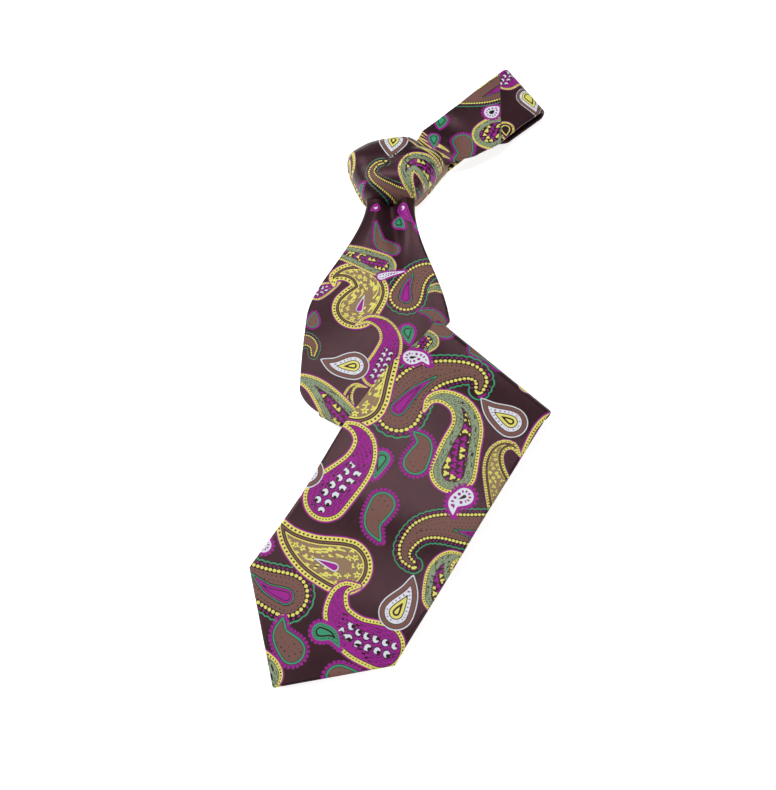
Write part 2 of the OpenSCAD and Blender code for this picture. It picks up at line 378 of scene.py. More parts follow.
def boteh_distances(points, centres, radii):
    """For each point: its distance inside the outline, its place along it, and along and off the spine."""
    inside = np.full(len(points), -1e9)
    place = np.zeros((len(points), 2))
    run = 0.0
    for k in range(len(centres) - 1):
        length, share, away, offset = beside(points, centres[k], centres[k + 1])
        t = np.clip(share, 0, 1)
        depth = radii[k] + t * (radii[k + 1] - radii[k]) - away
        deeper = depth > inside
        reach = share if k == 0 else t
        here = np.column_stack([run + np.minimum(reach, 1) * length, offset])
        inside = np.where(deeper, depth, inside)
        place = np.where(deeper[:, None], here, place)
        run += length
    nearest = np.full(len(points), 1e9)
    along = np.zeros(len(points))
    travelled = 0.0
    ring = boteh_outline(centres, radii)
    for start, end in zip(ring[:-1], ring[1:]):
        if math.dist(start, end) < 1e-6:
            continue
        length, share, away, _ = beside(points, start, end)
        better = away < nearest
        nearest = np.where(better, away, nearest)
        along = np.where(better, travelled + np.clip(share, 0, 1) * length, along)
        travelled += length
    return inside, along, place


class Pen:
    """Lays threads on the vertices near one boteh. Its measures are in the boteh's own units."""

    def __init__(self, canvas, index, distances, scale):
        self.canvas = canvas
        self.index = index
        self.scale = scale
        self.inside, self.along, self.place = [distance / scale for distance in distances]

    def lay(self, thread, *insides):
        """Lays a thread where all the distances given are above 0."""
        self.canvas.lay(self.index, thread, np.minimum.reduce(insides) * self.scale)

    def fill(self, *layers):
        """Lays threads one on another, each on all that is deeper inside the outline than its depth."""
        for thread, depth in layers:
            self.lay(thread, self.inside - depth)

    def line(self, thread, depth, width):
        self.lay(thread, width / 2 - np.abs(self.inside - depth))

    def to_row(self, depth, pitch, shift=0.0):
        """How far each vertex is from the nearest of a row of points inside the outline, off and along it."""
        along = self.along + shift
        return np.abs(self.inside - depth), np.abs(along - np.round(along / pitch) * pitch)

    def beads(self, thread, depth, radius, pitch, shift=0.0):
        self.lay(thread, radius - np.hypot(*self.to_row(depth, pitch, shift)))

    def lattice(self, pitch, turn, wander=0.0):
        """Distances from the nearest point of a staggered lattice, and that point's own random number."""
        cos, sin = heading(turn)
        x = self.place[:, 0] * cos + self.place[:, 1] * sin
        y = self.place[:, 1] * cos - self.place[:, 0] * sin
        row = np.round(y / pitch)
        shifted = x - (row % 2) * pitch / 2
        column = np.round(shifted / pitch)
        mix = np.sin(row * 12.9898 + column * 78.233) * 43758.5453
        random = mix - np.floor(mix)
        return shifted - column * pitch - (random - 0.5) * wander, y - row * pitch, random

    def dotted_border(self):
        """A yellow band with small dark dots in it, and a thin magenta line round it."""
        self.fill(("magenta", -0.75), ("yellow", 0))
        self.beads("dark", 1.05, 0.42, 1.75)

    def squared_border(self, depth, half, pitch):
        """A yellow band with dark squares in it, and a thin magenta line round it."""
        self.fill(("magenta", -0.7), ("yellow", 0))
        self.lay("dark", half - np.maximum(*self.to_row(depth, pitch)))


def petals(dx, dy, spin, radius, depth, count):
    """Distance inside flowers with a number of petals, each flower with its own spin in radians."""
    return radius + depth * np.cos(count * np.arctan2(dy, dx) + spin) - np.hypot(dx, dy)


def draw_hook(pen):
    """Magenta with a fine dark curl all over it, and two rows of white crescents in its belly."""
    pen.dotted_border()
    pen.fill(("dark", 2.0), ("magenta", 2.35))
    dx, dy, _ = pen.lattice(2.3, 30)
    pen.lay("dark", 0.17 - np.abs(np.hypot(dx, dy + 0.3) - 0.7), pen.inside - 3.0)
    run, off = pen.place.T
    belly = np.minimum.reduce([4.6 - np.abs(off), 22 - run, pen.inside - 4.2])
    run = run - np.where(off > 0, 1.2, -1.4)
    dx = run - np.round(run / 5.0) * 5.0
    dy = np.abs(off) - 2.5
    pen.lay("dark", 2.0 - np.hypot(dx, dy), belly)
    pen.lay("white", 1.7 - np.hypot(dx, dy), np.hypot(dx + 0.8, dy - 0.5) - 0.9, belly)


def draw_sage(pen):
    """A dotted border, a sage band with fine curls, and magenta and yellow flowers in a dark middle."""
    pen.dotted_border()
    pen.fill(("dark", 1.95), ("sage", 2.2))
    dx, dy, random = pen.lattice(2.5, 20)
    curls = 0.16 - np.abs(np.hypot(dx - 0.4 * random, dy) - 0.75)
    pen.lay("dark", curls, pen.inside - 2.7, 5.6 - pen.inside)
    pen.fill(("dark", 6.0))
    dx, dy, random = pen.lattice(3.5, 10, wander=1.2)
    flowers = petals(dx, dy, 6.3 * random, 1.4, 0.5, 3)
    pen.lay("magenta", np.where(random < 0.5, flowers, -2), pen.inside - 6.4)
    pen.lay("yellow", np.where(random > 0.5, flowers, -2), pen.inside - 6.4)


def draw_flower(pen):
    """A border of squares, a gap of ground, a yellow line, and a ring of yellow flowers on olive."""
    pen.squared_border(1.25, 0.5, 2.3)
    pen.fill(("dark", 2.4), ("brown", 2.9), ("dark", 3.8), ("yellow", 4.3), ("olive", 5.0))
    dx, dy, random = pen.lattice(4.4, 20, wander=1.4)
    room = np.minimum(pen.inside - 5.2, 10.8 - pen.inside)
    pen.lay("yellow", petals(dx, dy, 6 * random, 1.5, 0.6, 5), room)
    pen.lay("dark", 0.4 - np.hypot(dx, dy), room - 0.5)


def draw_brown(pen):
    """Brown with rows of dark dots, yellow beads round it, magenta beads and a scalloped teal line."""
    scallops = 0.6 * np.abs(np.sin(math.pi * pen.along / 3.2))
    pen.fill(("dark", -3.6))
    pen.lay("teal", 0.36 - np.abs(pen.inside + 3.9 + scallops))
    pen.beads("magenta", -2.75, 0.5, 2.2)
    pen.beads("yellow", -0.95, 0.88, 2.15)
    pen.fill(("brown", 0.3))
    for row in range(3):
        pen.beads("dark", 1.5 + 2.3 * row, 0.34, 2.2, shift=row / pen.scale)


def draw_comma(pen):
    """A small brown body with a teal outline and a ring of magenta beads."""
    pen.beads("magenta", -1.75, 0.72, 2.0)
    pen.fill(("magenta", -1.05), ("dark", -0.35), ("teal", 0), ("dark", 1.0), ("brown", 1.25))
    dx, dy, random = pen.lattice(3.0, 0)
    pen.lay("dark", 0.25 + 0.2 * random - np.hypot(dx - random, dy), pen.inside - 2.0)


def draw_white(pen):
    """White line, brown band, white ring with magenta dots, and a yellow core."""
    pen.fill(("white", 0), ("dark", 0.7), ("brown", 1.0), ("dark", 3.3), ("white", 3.6))
    pen.beads("magenta", 4.8, 0.5, 2.6)
    pen.fill(("dark", 5.9), ("yellow", 6.4))
    pen.line("dark", 8.4, 1.0)


def draw_small_teal(pen):
    """Teal with dark dots in its rim, a dark ring, and magenta beads round it."""
    pen.beads("magenta", -1.5, 0.75, 1.9)
    pen.fill(("magenta", -0.9), ("teal", 0))
    pen.beads("dark", 0.95, 0.36, 1.5)
    pen.fill(("dark", 1.9), ("teal", 2.7))


def draw_small_white(pen):
    """White with round holes in it, and a ring of magenta beads."""
    pen.beads("magenta", -1.9, 0.6, 1.9)
    pen.fill(("magenta", -1.3), ("white", 0))
    pen.beads("magenta", 1.9, 0.85, 3.0)
    pen.fill(("dark", 3.6))


def draw_curl(pen):
    """An open hook: a border of squares, a gap, and a plain yellow line inside."""
    pen.squared_border(1.2, 0.45, 2.2)
    pen.fill(("dark", 2.3), ("ground", 2.8))
    pen.line("magenta", 3.6, 0.5)
    pen.line("yellow", 5.0, 1.1)


def draw_seed(pen):
    """The magenta drop with a teal outline inside a brown boteh."""
    pen.fill(("dark", -0.4), ("teal", 0), ("dark", 0.6), ("magenta", 0.9))
    pen.line("dark", 2.2, 0.5)


def draw_bud(pen):
    """The magenta drop with a white outline inside a flower boteh."""
    pen.fill(("white", 0), ("magenta", 0.6))


def draw_bloom(pen):
    """A plain magenta patch with one white crescent."""
    pen.fill(("dark", -0.8), ("magenta", 0))
    pen.line("dark", 1.6, 0.4)
    x, y = pen.place.T
    pen.lay("white", 1.7 - np.hypot(x, y), np.hypot(x + 0.4, y + 1.0) - 1.1)


# For each kind: what draws it, the radius of its head at which its own unit is a millimetre, and how long it
# stays broad from the head on, where 1 tapers evenly and more keeps it full for longer
KINDS = {
    "hook": (draw_hook, 12.0, 1.35),
    "sage": (draw_sage, 12.0, 1.2),
    "flower": (draw_flower, 15.0, 1.2),
    "brown": (draw_brown, 9.0, 1.25),
    "comma": (draw_comma, 7.0, 1.5),
    "white": (draw_white, 10.0, 1.2),
    "small_teal": (draw_small_teal, 4.5, 1.2),
    "small_white": (draw_small_white, 4.5, 1.2),
    "curl": (draw_curl, 8.0, 1.2),
    "seed": (draw_seed, 4.5, 1.2),
    "bud": (draw_bud, 2.2, 1.2),
    "bloom": (draw_bloom, 4.5, 1.2),
}
# The smallest unit, which keeps the threads of a small boteh wide enough to see
LEAST_UNIT = 0.6
# How far beyond its outline a boteh's outermost line may lie
MARGIN = 6.5

# Botehs: kind, radius of the round head, and the path from the middle of the head to the tip.
# On the blade the first number runs towards the tip and the second to the tie's left.
BLADE_BOTEHS = [
    ("comma", 4.5, [(-6, -13), (-5, -4), (-1, 5)]),
    ("comma", 4.5, [(-6, -34), (-4, -41), (-7, -50)]),
    ("curl", 6, [(-3, 24), (-12, 20)]),
    ("hook", 13, [(33, 55), (12, 50), (-8, 56)]),
    ("brown", 11, [(54, -28), (35, -29), (24, -25), (15, -17), (9, -8), (10, 0), (17, 3)]),
    ("seed", 4.5, [(53, -29), (38, -27), (23, -22)]),
    ("flower", 18, [(60, -52), (44, -53), (16, -52)]),
    ("flower", 10, [(72, 54), (62, 43), (54, 35), (46, 31), (39, 32), (36, 37), (39, 43)]),
    ("sage", 7.5, [(6, -40), (14, -42), (19, -50)]),
    ("sage", 13, [(68, 17), (54, 13), (40, 9), (32, 0), (32, -11), (38, -17), (46, -16)]),
    ("white", 10, [(24, 28), (24, 17), (21, 7)]),
    ("small_white", 4.8, [(21, -41), (17, -36), (19, -30)]),
    ("comma", 7, [(75, -3), (63, -5), (60, -14)]),
    ("small_teal", 4.5, [(83, -20), (95, -17)]),
    ("comma", 7, [(105, -5), (116, -4), (122, 5)]),
    ("sage", 10, [(129, 48), (119, 41), (110, 41), (104, 48)]),
    ("brown", 8.5, [(82, 58), (91, 42), (98, 28), (106, 20), (116, 18), (122, 21), (123, 27)]),
    ("seed", 3.5, [(90, 52), (96, 35)]),
    ("small_white", 5, [(77, 30), (83, 27), (89, 30)]),
    ("curl", 6, [(130, -54), (124, -46)]),
    ("brown", 10, [(173, -21), (176, -38), (176, -62)]),
    ("seed", 4.5, [(174, -21), (176, -32), (174, -44)]),
    ("flower", 15.5, [(144, -4), (148, -21), (147, -37), (141, -50)]),
    ("bud", 2.4, [(147, -8), (149, -20)]),
    ("hook", 12.5, [(168, 36), (171, 22), (168, 9), (160, 3), (153, 3), (148, 9)]),
    ("hook", 13, [(118, -33), (95, -29), (81, -33), (76, -42), (78, -52)]),
    ("white", 9, [(112, -50), (112, -66)]),
    ("curl", 5, [(158, 54), (150, 52)]),
    ("white", 9.5, [(149, 33), (138, 33), (128, 30)]),
    ("small_white", 4, [(158, -47), (158, -55)]),
    ("small_teal", 4.5, [(179, 5), (177, 11), (180, 18)]),
    ("comma", 7, [(195, -2), (192, -12), (184, -16)]),
    ("comma", 7, [(193, 27), (190, 38), (196, 46)]),
    ("sage", 13, [(216, -9), (205, -26)]),
]
# On the upper blade the numbers are to the right of and above its root in the knot.
UPPER_BOTEHS = [
    ("bloom", 3, [(-10, -4), (-14, -6)]),
    ("bloom", 3.6, [(8, -4), (11, -10), (16, -17)]),
    ("small_teal", 3, [(5, -12), (9, -18)]),
    ("small_teal", 3, [(19, -18), (23, -28)]),
    ("comma", 4.3, [(1, -32), (-7, -29), (-10, -15)]),
    ("hook", 5.5, [(-45, -64), (-31, -57)]),
    ("sage", 4.8, [(38, -62), (27, -61), (19, -66)]),
    ("brown", 8.5, [(9, -67), (14, -56), (22, -49), (33, -48)]),
    ("seed", 4, [(9, -68), (10, -60), (14, -51)]),
    ("flower", 14.5, [(-21, -75), (-13, -63), (-18, -53), (-27, -50), (-35, -53), (-35, -59)]),
    ("bud", 2.2, [(-19, -76), (-16, -66)]),
    ("sage", 8.5, [(-5, -45), (-18, -40), (-32, -35), (-60, -24)]),
    ("small_white", 2.2, [(-6, -53), (0, -51), (9, -49)]),
    ("comma", 3.5, [(-47, -85), (-46, -78)]),
    ("comma", 4, [(30, -86), (25, -79), (17, -77)]),
    ("small_teal", 4, [(10, -91), (11, -99)]),
    ("brown", 4, [(-60, -99), (-51, -97), (-46, -101), (-46, -107)]),
    ("hook", 9.5, [(-8, -119), (-2, -106), (0, -96), (-4, -87), (-13, -83), (-21, -87)]),
    ("white", 9.3, [(-22, -114), (-32, -114), (-41, -110)]),
    ("curl", 4.5, [(-24, -147), (-25, -134), (-21, -127), (-14, -128)]),
    ("sage", 10.5, [(-27, -150), (-37, -135), (-47, -125), (-62, -119)]),
]
# On the knot they are to the right of and above its middle.
KNOT_BOTEHS = [
    ("white", 9.5, [(-3, 15), (-4, 7), (-5, 0)]),
    ("brown", 2.8, [(13, -25), (2, -23), (-9, -19), (-15, -15), (-17, -10), (-13, -5), (-8, -4)]),
    ("sage", 9, [(21, -9), (15, -5), (9, -4), (5, -9), (6, -17), (12, -25)]),
    ("curl", 5.5, [(-33, -2), (-29, 8)]),
    ("small_teal", 3, [(-27, -19), (-22, -16)]),
    ("curl", 2.6, [(36, -3), (20, 5), (6, 16)]),
]
# On the neck band the first number runs away from the knot and the second to the tie's left.
BAND_BOTEHS = [
    ("curl", 3.2, [(-2, 14), (0, 0), (4, -14)]),
    ("curl", 2.8, [(4, 16), (5, 4), (7, -10)]),
    ("small_teal", 3.5, [(8, 6), (3, 0)]),
    ("small_teal", 4, [(23, 14), (17, 10)]),
    ("comma", 6.8, [(20, -9), (14, -17), (5, -16)]),
    ("sage", 11.5, [(37, -17), (47, -15), (55, -20)]),
    ("small_white", 4.8, [(51, -5), (58, -5)]),
    ("brown", 8.5, [(74, 6), (58, 9), (40, 19)]),
    ("seed", 3, [(74, 5), (56, 8)]),
]
# Past the join seam the cloth is another cut of the same silk, so its pattern doesn't run on.
JOIN_BOTEHS = [
    ("curl", 6, [(48, -21), (42, -28)]),
    ("hook", 10, [(80, 9), (92, 14), (100, 26)]),
    ("white", 8, [(79, -12), (76, -20), (72, -28)]),
]
# Round the knot's side, above what the tiles lay there
COLLAR_BOTEHS = [
    ("curl", 3, [(34, 6), (20, 12), (6, 22)]),
    ("sage", 4, [(30, -2), (20, 12), (16, 24)]),
]
TILE_LENGTH = 190.0
TILE_WIDTH = 96.0


def paint(canvas, botehs, wanted=True, size=1.0, tiled=False):
    """Lays botehs on the cloth, on the vertices wanted. Tiled, they repeat along and across it."""
    shifts = [(0, 0)]
    if tiled:
        tile = (TILE_LENGTH, TILE_WIDTH)
        low = [math.floor(least / side) for least, side in zip(canvas.flat.min(axis=0), tile)]
        high = [math.ceil(most / side) for most, side in zip(canvas.flat.max(axis=0), tile)]
        shifts = [(i, j) for i in range(low[0] - 1, high[0] + 1) for j in range(low[1] - 1, high[1] + 2)]
    for i, j in shifts:
        shift = np.array([i * TILE_LENGTH, j * TILE_WIDTH])
        for kind, radius, path in botehs:
            draw, natural_radius, fullness = KINDS[kind]
            centres, radii = boteh_spine(path + shift, radius, fullness)
            low_corner = centres.min(axis=0) - radius - MARGIN
            high_corner = centres.max(axis=0) + radius + MARGIN
            near = np.all((canvas.flat > low_corner) & (canvas.flat < high_corner), axis=1) & wanted
            index = np.nonzero(near)[0]
            if len(index) == 0:
                continue
            distances = boteh_distances(canvas.flat[index], centres, radii)
            close = distances[0] > -MARGIN
            scale = max(radius / natural_radius, LEAST_UNIT) * size
            draw(Pen(canvas, index[close], [distance[close] for distance in distances], scale))


def painter(botehs, **options):
    """What lays these botehs on a canvas."""
    return lambda canvas: paint(canvas, botehs, **options)


# ---- Materials ----

def linear(red, green, blue):
    """A colour given as the eye sees it, 0 to 255, in the shader's own scale."""
    def one(c):
        c = c / 255
        return c / 12.92 if c <= 0.04045 else ((c + 0.055) / 1.055) ** 2.4
    return (one(red), one(green), one(blue), 1)


GROUND = linear(45, 22, 27)
GROUND_SHADE = linear(26, 12, 16)
COLOURS = {
    "brown": linear(118, 85, 76),
    "sage": linear(140, 160, 128),
    "magenta": linear(158, 26, 146),
    "teal": linear(46, 158, 114),
    "yellow": linear(232, 226, 112),
    "white": linear(226, 232, 240),
    "dark": linear(20, 10, 13),
    "olive": linear(146, 122, 92),
}
# How dark the shaded grain of a thread is, as a share of its colour
GRAIN_SHADE = 0.66


class Nodes:
    """The nodes of a new material. A value given to one is a number, a colour or another node's output."""

    def __init__(self, name):
        self.material = bpy.data.materials.new(name)
        self.material.use_nodes = True
        self.tree = self.material.node_tree
        self.tree.nodes.clear()
        self.shader = self.add("BsdfPrincipled")
        self.add("OutputMaterial", {"Surface": self.shader.outputs["BSDF"]})

    def add(self, kind, values=None, **settings):
        node = self.tree.nodes.new("ShaderNode" + kind)
        for setting, value in settings.items():
            setattr(node, setting, value)
        self.put(node, values or {})
        return node

    def put(self, node, values):
        for socket, value in values.items():
            if isinstance(value, bpy.types.NodeSocket):
                self.tree.links.new(value, node.inputs[socket])
            else:
                node.inputs[socket].default_value = value

    def math(self, operation, first, second):
        return self.add("Math", {0: first, 1: second}, operation=operation).outputs[0]

    def ramp(self, value, low, high, out_low=0.0, out_high=1.0):
        """A smooth step, from out_low at low to out_high at high."""
        values = {"Value": value, "From Min": low, "From Max": high, "To Min": out_low, "To Max": out_high}
        return self.add("MapRange", values, interpolation_type="SMOOTHSTEP").outputs["Result"]

    def mix(self, factor, first, second):
        """A mix of two colours, whose sockets on this node share their names with those of other kinds."""
        return self.add("Mix", {0: factor, 6: first, 7: second}, data_type="RGBA").outputs[2]

    def noise(self, place, scale, detail=2.0, stretch=(1, 1, 1)):
        mapped = self.add("Mapping", {"Vector": place, "Scale": stretch}).outputs["Vector"]
        return self.add("TexNoise", {"Vector": mapped, "Scale": scale, "Detail": detail}).outputs["Fac"]

    def attribute(self, name):
        return self.add("Attribute", attribute_name=name).outputs

    def relief(self, height, strength, depth):
        """Raises the shader's surface by a height, at most depth in millimetres."""
        values = {"Height": height, "Strength": strength, "Distance": depth * MM}
        self.put(self.shader, {"Normal": self.add("Bump", values).outputs["Normal"]})


def silk_material():
    """Satin ground with figures in coloured floats, a fine twill, and slight streaks along the warp."""
    nodes = Nodes("jacquard_silk")
    cloth = nodes.attribute("cloth")["Vector"]
    streaks = nodes.noise(cloth, 1.0, 3.0, (0.12, 1.6, 1))
    clouds = nodes.noise(cloth, 0.045)
    tone = nodes.ramp(nodes.math("ADD", streaks, clouds), 0.7, 1.3)
    colour = nodes.mix(tone, GROUND_SHADE, GROUND)
    grain = nodes.noise(cloth, 2.2)
    raised = None
    for name, threads in COVER_LAYERS.items():
        cover = nodes.attribute(name)
        channels = [*nodes.add("SeparateColor", {"Color": cover["Color"]}).outputs, cover["Alpha"]]
        for thread, channel in zip(threads, channels):
            shown = nodes.ramp(channel, 0.38, 0.62)
            light = COLOURS[thread]
            deep = tuple(c * GRAIN_SHADE for c in light[:3]) + (1,)
            colour = nodes.mix(shown, colour, nodes.mix(grain, deep, light))
            if thread != "dark":
                raised = shown if raised is None else nodes.math("MAXIMUM", raised, shown)
    ribs = {"Vector": cloth, "Scale": 1.1, "Distortion": 0.6}
    twill = nodes.add("TexWave", ribs, wave_type="BANDS", bands_direction="DIAGONAL").outputs["Fac"]
    height = nodes.math("ADD", raised, nodes.math("MULTIPLY", twill, 0.25))
    height = nodes.math("ADD", height, nodes.math("MULTIPLY", grain, 0.4))
    nodes.relief(height, 0.35, 0.2)
    nodes.put(nodes.shader, {
        "Base Color": colour,
        "Roughness": nodes.ramp(raised, 0, 1, 0.38, 0.6),
        "Specular IOR Level": 0.4,
        "Specular Tint": (1.0, 0.58, 0.66, 1),
        "Sheen Weight": 0.02,
        "Sheen Roughness": 0.4,
    })
    return nodes.material


def plain_cloth(name, light, deep, scale, roughness, depth):
    """A plain woven or napped cloth with fine variation of colour and height."""
    nodes = Nodes(name)
    grain = nodes.noise(nodes.add("TexCoord").outputs["Object"], scale, 4.0)
    colour = nodes.mix(nodes.ramp(grain, 0.3, 0.7), deep, light)
    nodes.put(nodes.shader, {"Base Color": colour, "Roughness": roughness, "Sheen Weight": 0.3})
    nodes.relief(grain, 0.5, depth)
    return nodes.material


silk = silk_material()
wool = plain_cloth("napped_wool", linear(222, 214, 198), linear(184, 172, 150), 1400, 0.9, 0.4)
lining = plain_cloth("lining_twill", linear(62, 40, 46), linear(40, 25, 30), 2600, 0.5, 0.1)
sewing_thread = plain_cloth("silk_thread", linear(132, 60, 100), linear(84, 42, 66), 3000, 0.5, 0.1)
seam_silk = plain_cloth("seam_silk", linear(64, 40, 44), linear(40, 24, 30), 2600, 0.5, 0.1)


def dress(obj, material):
    obj.data.materials.clear()
    obj.data.materials.append(material)


# ---- Building a piece of silk ----

def silk_piece(name, points, flat, facing, painting):
    """A closed piece of silk from rings of points, with the paisley laid on it by its cloth coordinates."""
    obj = envelope(name, points)
    cloth = np.column_stack([flat.reshape(-1, 2), np.where(facing.reshape(-1), 0.0, 1.0)])
    layer = obj.data.attributes.new("cloth", "FLOAT_VECTOR", "POINT")
    layer.data.foreach_set("vector", cloth.astype(np.float32).ravel())
    canvas = Canvas(flat)
    painting(canvas)
    canvas.store(obj)
    dress(obj, silk)
    return obj


def build_stretch(name, rows, width, swell, painting, face_step=FINE, back_step=MEDIUM):
    """The silk envelope of a stretch, and its interlining in the same shape."""
    points, flat, facing = sweep(held(rows), width, face_step, back_step)
    points[:, :, 2] += swell(points)
    silk_part = silk_piece(name, points, flat, facing, painting)
    fewer_rows = rows[:-1:6] + rows[-1:]
    points, _, _ = sweep(fewer_rows, width, COARSE, COARSE, half_t=0.6, edge=1.0, inset=2.2, lap=0.0)
    points[:, :, 2] += swell(points)
    filling = envelope(name + "_wool", points)
    dress(filling, wool)
    return silk_part, filling


# ---- The front blade ----

def blade_plan(u, v):
    """A plan point u along the front blade from its upper fold and v to its left."""
    return blade_start + u * blade_dir + v * blade_left


def blade_flat(point):
    gap = point - blade_start
    return np.array([gap @ blade_dir, gap @ blade_left])


def tip_half_width(u):
    if u <= BLADE_LEN:
        return (FOLD_W + (BLADE_W - FOLD_W) * u / BLADE_LEN) / 2
    return BLADE_W / 2 * (BLADE_LEN + TIP_H - u) / TIP_H


upper_fold_dir = -joint_axis("blade_unfold")
upper_fold_left = blade_start + FOLD_W / 2 * upper_fold_dir
upper_fold_right = blade_start - FOLD_W / 2 * upper_fold_dir
upper_fold_bulge = turned(upper_fold_dir)
fold_flat_dir = -blade_flat(blade_start + upper_fold_bulge)

# Where the front blade starts and ends to slope down to the surface
SLOPE_FROM = 104.0
SLOPE_TO = 116.0
# How far its right edge swells past its cut
BELLY = 4.8


def belly(u):
    return BELLY * ease(u / 36) * (1 - ease((u - 70) / 55))


def front_rows():
    """Lines along the front blade: from its fold to the split, and on over the bend to the point."""
    count = round(PIECE_SPLIT / FINE)
    half = tip_half_width(LEVEL_LEN)
    bend_left = blade_plan(LEVEL_LEN, half)
    bend_right = blade_plan(LEVEL_LEN, -half)
    first = []
    for share in np.linspace(0, PIECE_SPLIT / LEVEL_LEN, count + 1):
        left = upper_fold_left + share * (bend_left - upper_fold_left)
        right = upper_fold_right + share * (bend_right - upper_fold_right)
        right = right - belly(blade_flat(right)[0]) * blade_left
        first.append(level_line(left, right, FRONT_Z, 1, blade_flat(left), blade_flat(right)))
    second = [first[-1]]
    skew_left = blade_flat(left)[0] - LEVEL_LEN
    skew_right = blade_flat(right)[0] - LEVEL_LEN
    # The slant of the lines dies out by the bend, and the blade then follows its slope down
    length = BLADE_LEN + TIP_H - BLUNT - PIECE_SPLIT
    count = round(length / FINE)
    step = length / count
    u = PIECE_SPLIT
    x = 0.0
    z = FRONT_Z
    for _ in range(count):
        slope = TIP_SLOPE * ease((u + step / 2 - SLOPE_FROM) / (SLOPE_TO - SLOPE_FROM))
        u += step
        x += step * math.cos(slope)
        z -= step * math.sin(slope)
        fade = max(0.0, 1 - (u - PIECE_SPLIT) / (LEVEL_LEN - PIECE_SPLIT))
        half = tip_half_width(u)
        left_u = PIECE_SPLIT + x + (skew_left + LEVEL_LEN - PIECE_SPLIT) * fade
        right_u = PIECE_SPLIT + x + (skew_right + LEVEL_LEN - PIECE_SPLIT) * fade
        half_right = half + belly(right_u)
        second.append(line(
            plan(blade_plan(left_u, half), z), plan(blade_plan(right_u, -half_right), z),
            plan(blade_dir * math.sin(slope), math.cos(slope)),
            (u + left_u - PIECE_SPLIT - x, half), (u + right_u - PIECE_SPLIT - x, -half_right),
        ))
    return first, second


def front_swell(points):
    """How far the slack cloth of the front blade stands up, by place along and across it."""
    gap = points[..., :2] - blade_start
    u = gap @ blade_dir
    v = gap @ blade_left
    high = 2.4 * (1 - ease((u - 98 + 0.25 * v) / 30))
    ridge = 1.3 * hump(u - 62 - 0.35 * v, 24)
    second = 1.5 * hump(u - 162 + 0.25 * v, 22)
    ripple = 0.3 * np.sin(u / 13 + v / 21) * ease(u / 40)
    fade = ease(u / 30) * ease((BLADE_LEN + TIP_H + 12 - u) / 40)
    return (high + ridge + second + ripple) * fade


blade_first, blade_second = front_rows()
fold_rows = roll(
    upper_fold_left, upper_fold_right, upper_fold_bulge, HIDDEN_Z, FRONT_Z,
    blade_flat(upper_fold_left), blade_flat(upper_fold_right), fold_flat_dir, step=FINE,
)
blade_first = fold_rows + blade_first[1:]
on_blade = painter(BLADE_BOTEHS)
front_blade, front_wool = build_stretch("front_blade", blade_first, BLADE_W, front_swell, on_blade)
tip, tip_wool = build_stretch("blade_tip", blade_second, BLADE_W, front_swell, on_blade)

# ---- The upper blade, its lower fold and the hidden blade ----

# Radius of the round corner at the left end of the lower fold, and how far the upper edge tucks in above it
CORNER = 13.0
TUCK = 13.0
# How far the upper blade runs on into the knot
ROOT_INSIDE = 10.0
LOWER_FLARE = 4.0


def upper_line(t):
    """Line across the upper blade at share t of its length, from the root in the knot to the lower fold."""
    span = np.linalg.norm(lower_fold_mid - upper_root)
    flare = ease(min(1, t * span / FLARE_LEN))
    width = UPPER_ROOT_W + (LOWER_FOLD_W - LOWER_FLARE - UPPER_ROOT_W) * flare + LOWER_FLARE * t * t
    middle = upper_root + t * (lower_fold_mid - upper_root) - [0.5 * math.sin(math.pi * t), 0]
    along = heading(LOWER_FOLD_HEADING * t * t - 2 * (1 - t))
    tuck = TUCK * ease((t - 0.49) / 0.07) * (1 - ease((t - 0.6) / 0.4))
    remaining = (1 - t) * span
    corner = 0.0
    if remaining < CORNER:
        corner = CORNER - math.sqrt(CORNER ** 2 - (CORNER - remaining) ** 2)
    return middle + width / 2 * along - [tuck, 0], middle - (width / 2 - corner) * along


def upper_rows():
    rows = []
    span = np.linalg.norm(lower_fold_mid - upper_root)
    for down in spaced(-ROOT_INSIDE, span, FINE):
        t = down / span
        left, right = [end + np.array([0, max(-t, 0) * span]) for end in upper_line(max(t, 0))]
        rows.append(level_line(left, right, UPPER_Z, 1, left - upper_root, right - upper_root))
    return rows


def hidden_rows(flat_left, flat_right, flat_dir, start):
    """Lines of the stretch behind, face down, from the lower fold to the upper one."""
    low_left, low_right = upper_line(1)
    run_left = upper_fold_left - low_left
    run_right = upper_fold_right - low_right
    rows = []
    for t in spaced(0, 1, 1 / 64)[1:]:
        travel_left = flat_dir * (start + t * np.linalg.norm(run_left))
        travel_right = flat_dir * (start + t * np.linalg.norm(run_right))
        rows.append(level_line(
            low_left + t * run_left, low_right + t * run_right, HIDDEN_Z, -1,
            flat_left + travel_left, flat_right + travel_right,
        ))
    return rows


def upper_swell(points):
    """Two soft ridges with a dimple between them where the blade leaves the knot, flat further down."""
    gap = points[..., :2] - upper_root
    down = -gap[..., 1]
    x = gap[..., 0]
    spread = 1 + np.clip(down, 0, 60) / 30
    fade = 1 - ease((down - 5) / 55)
    ridges = 3.0 * hump(x + 8 * spread, 5 * spread) + 3.4 * hump(x - 9 * spread, 5 * spread)
    dimple = -4.5 * hump(x - 0.12 * down, 4.5)
    soft = 0.3 * np.sin(down / 9 + x / 14) * ease(down / 30) * (1 - ease((down - 100) / 30))
    return (ridges + dimple) * fade + soft * (points[..., 2] > 9.5)


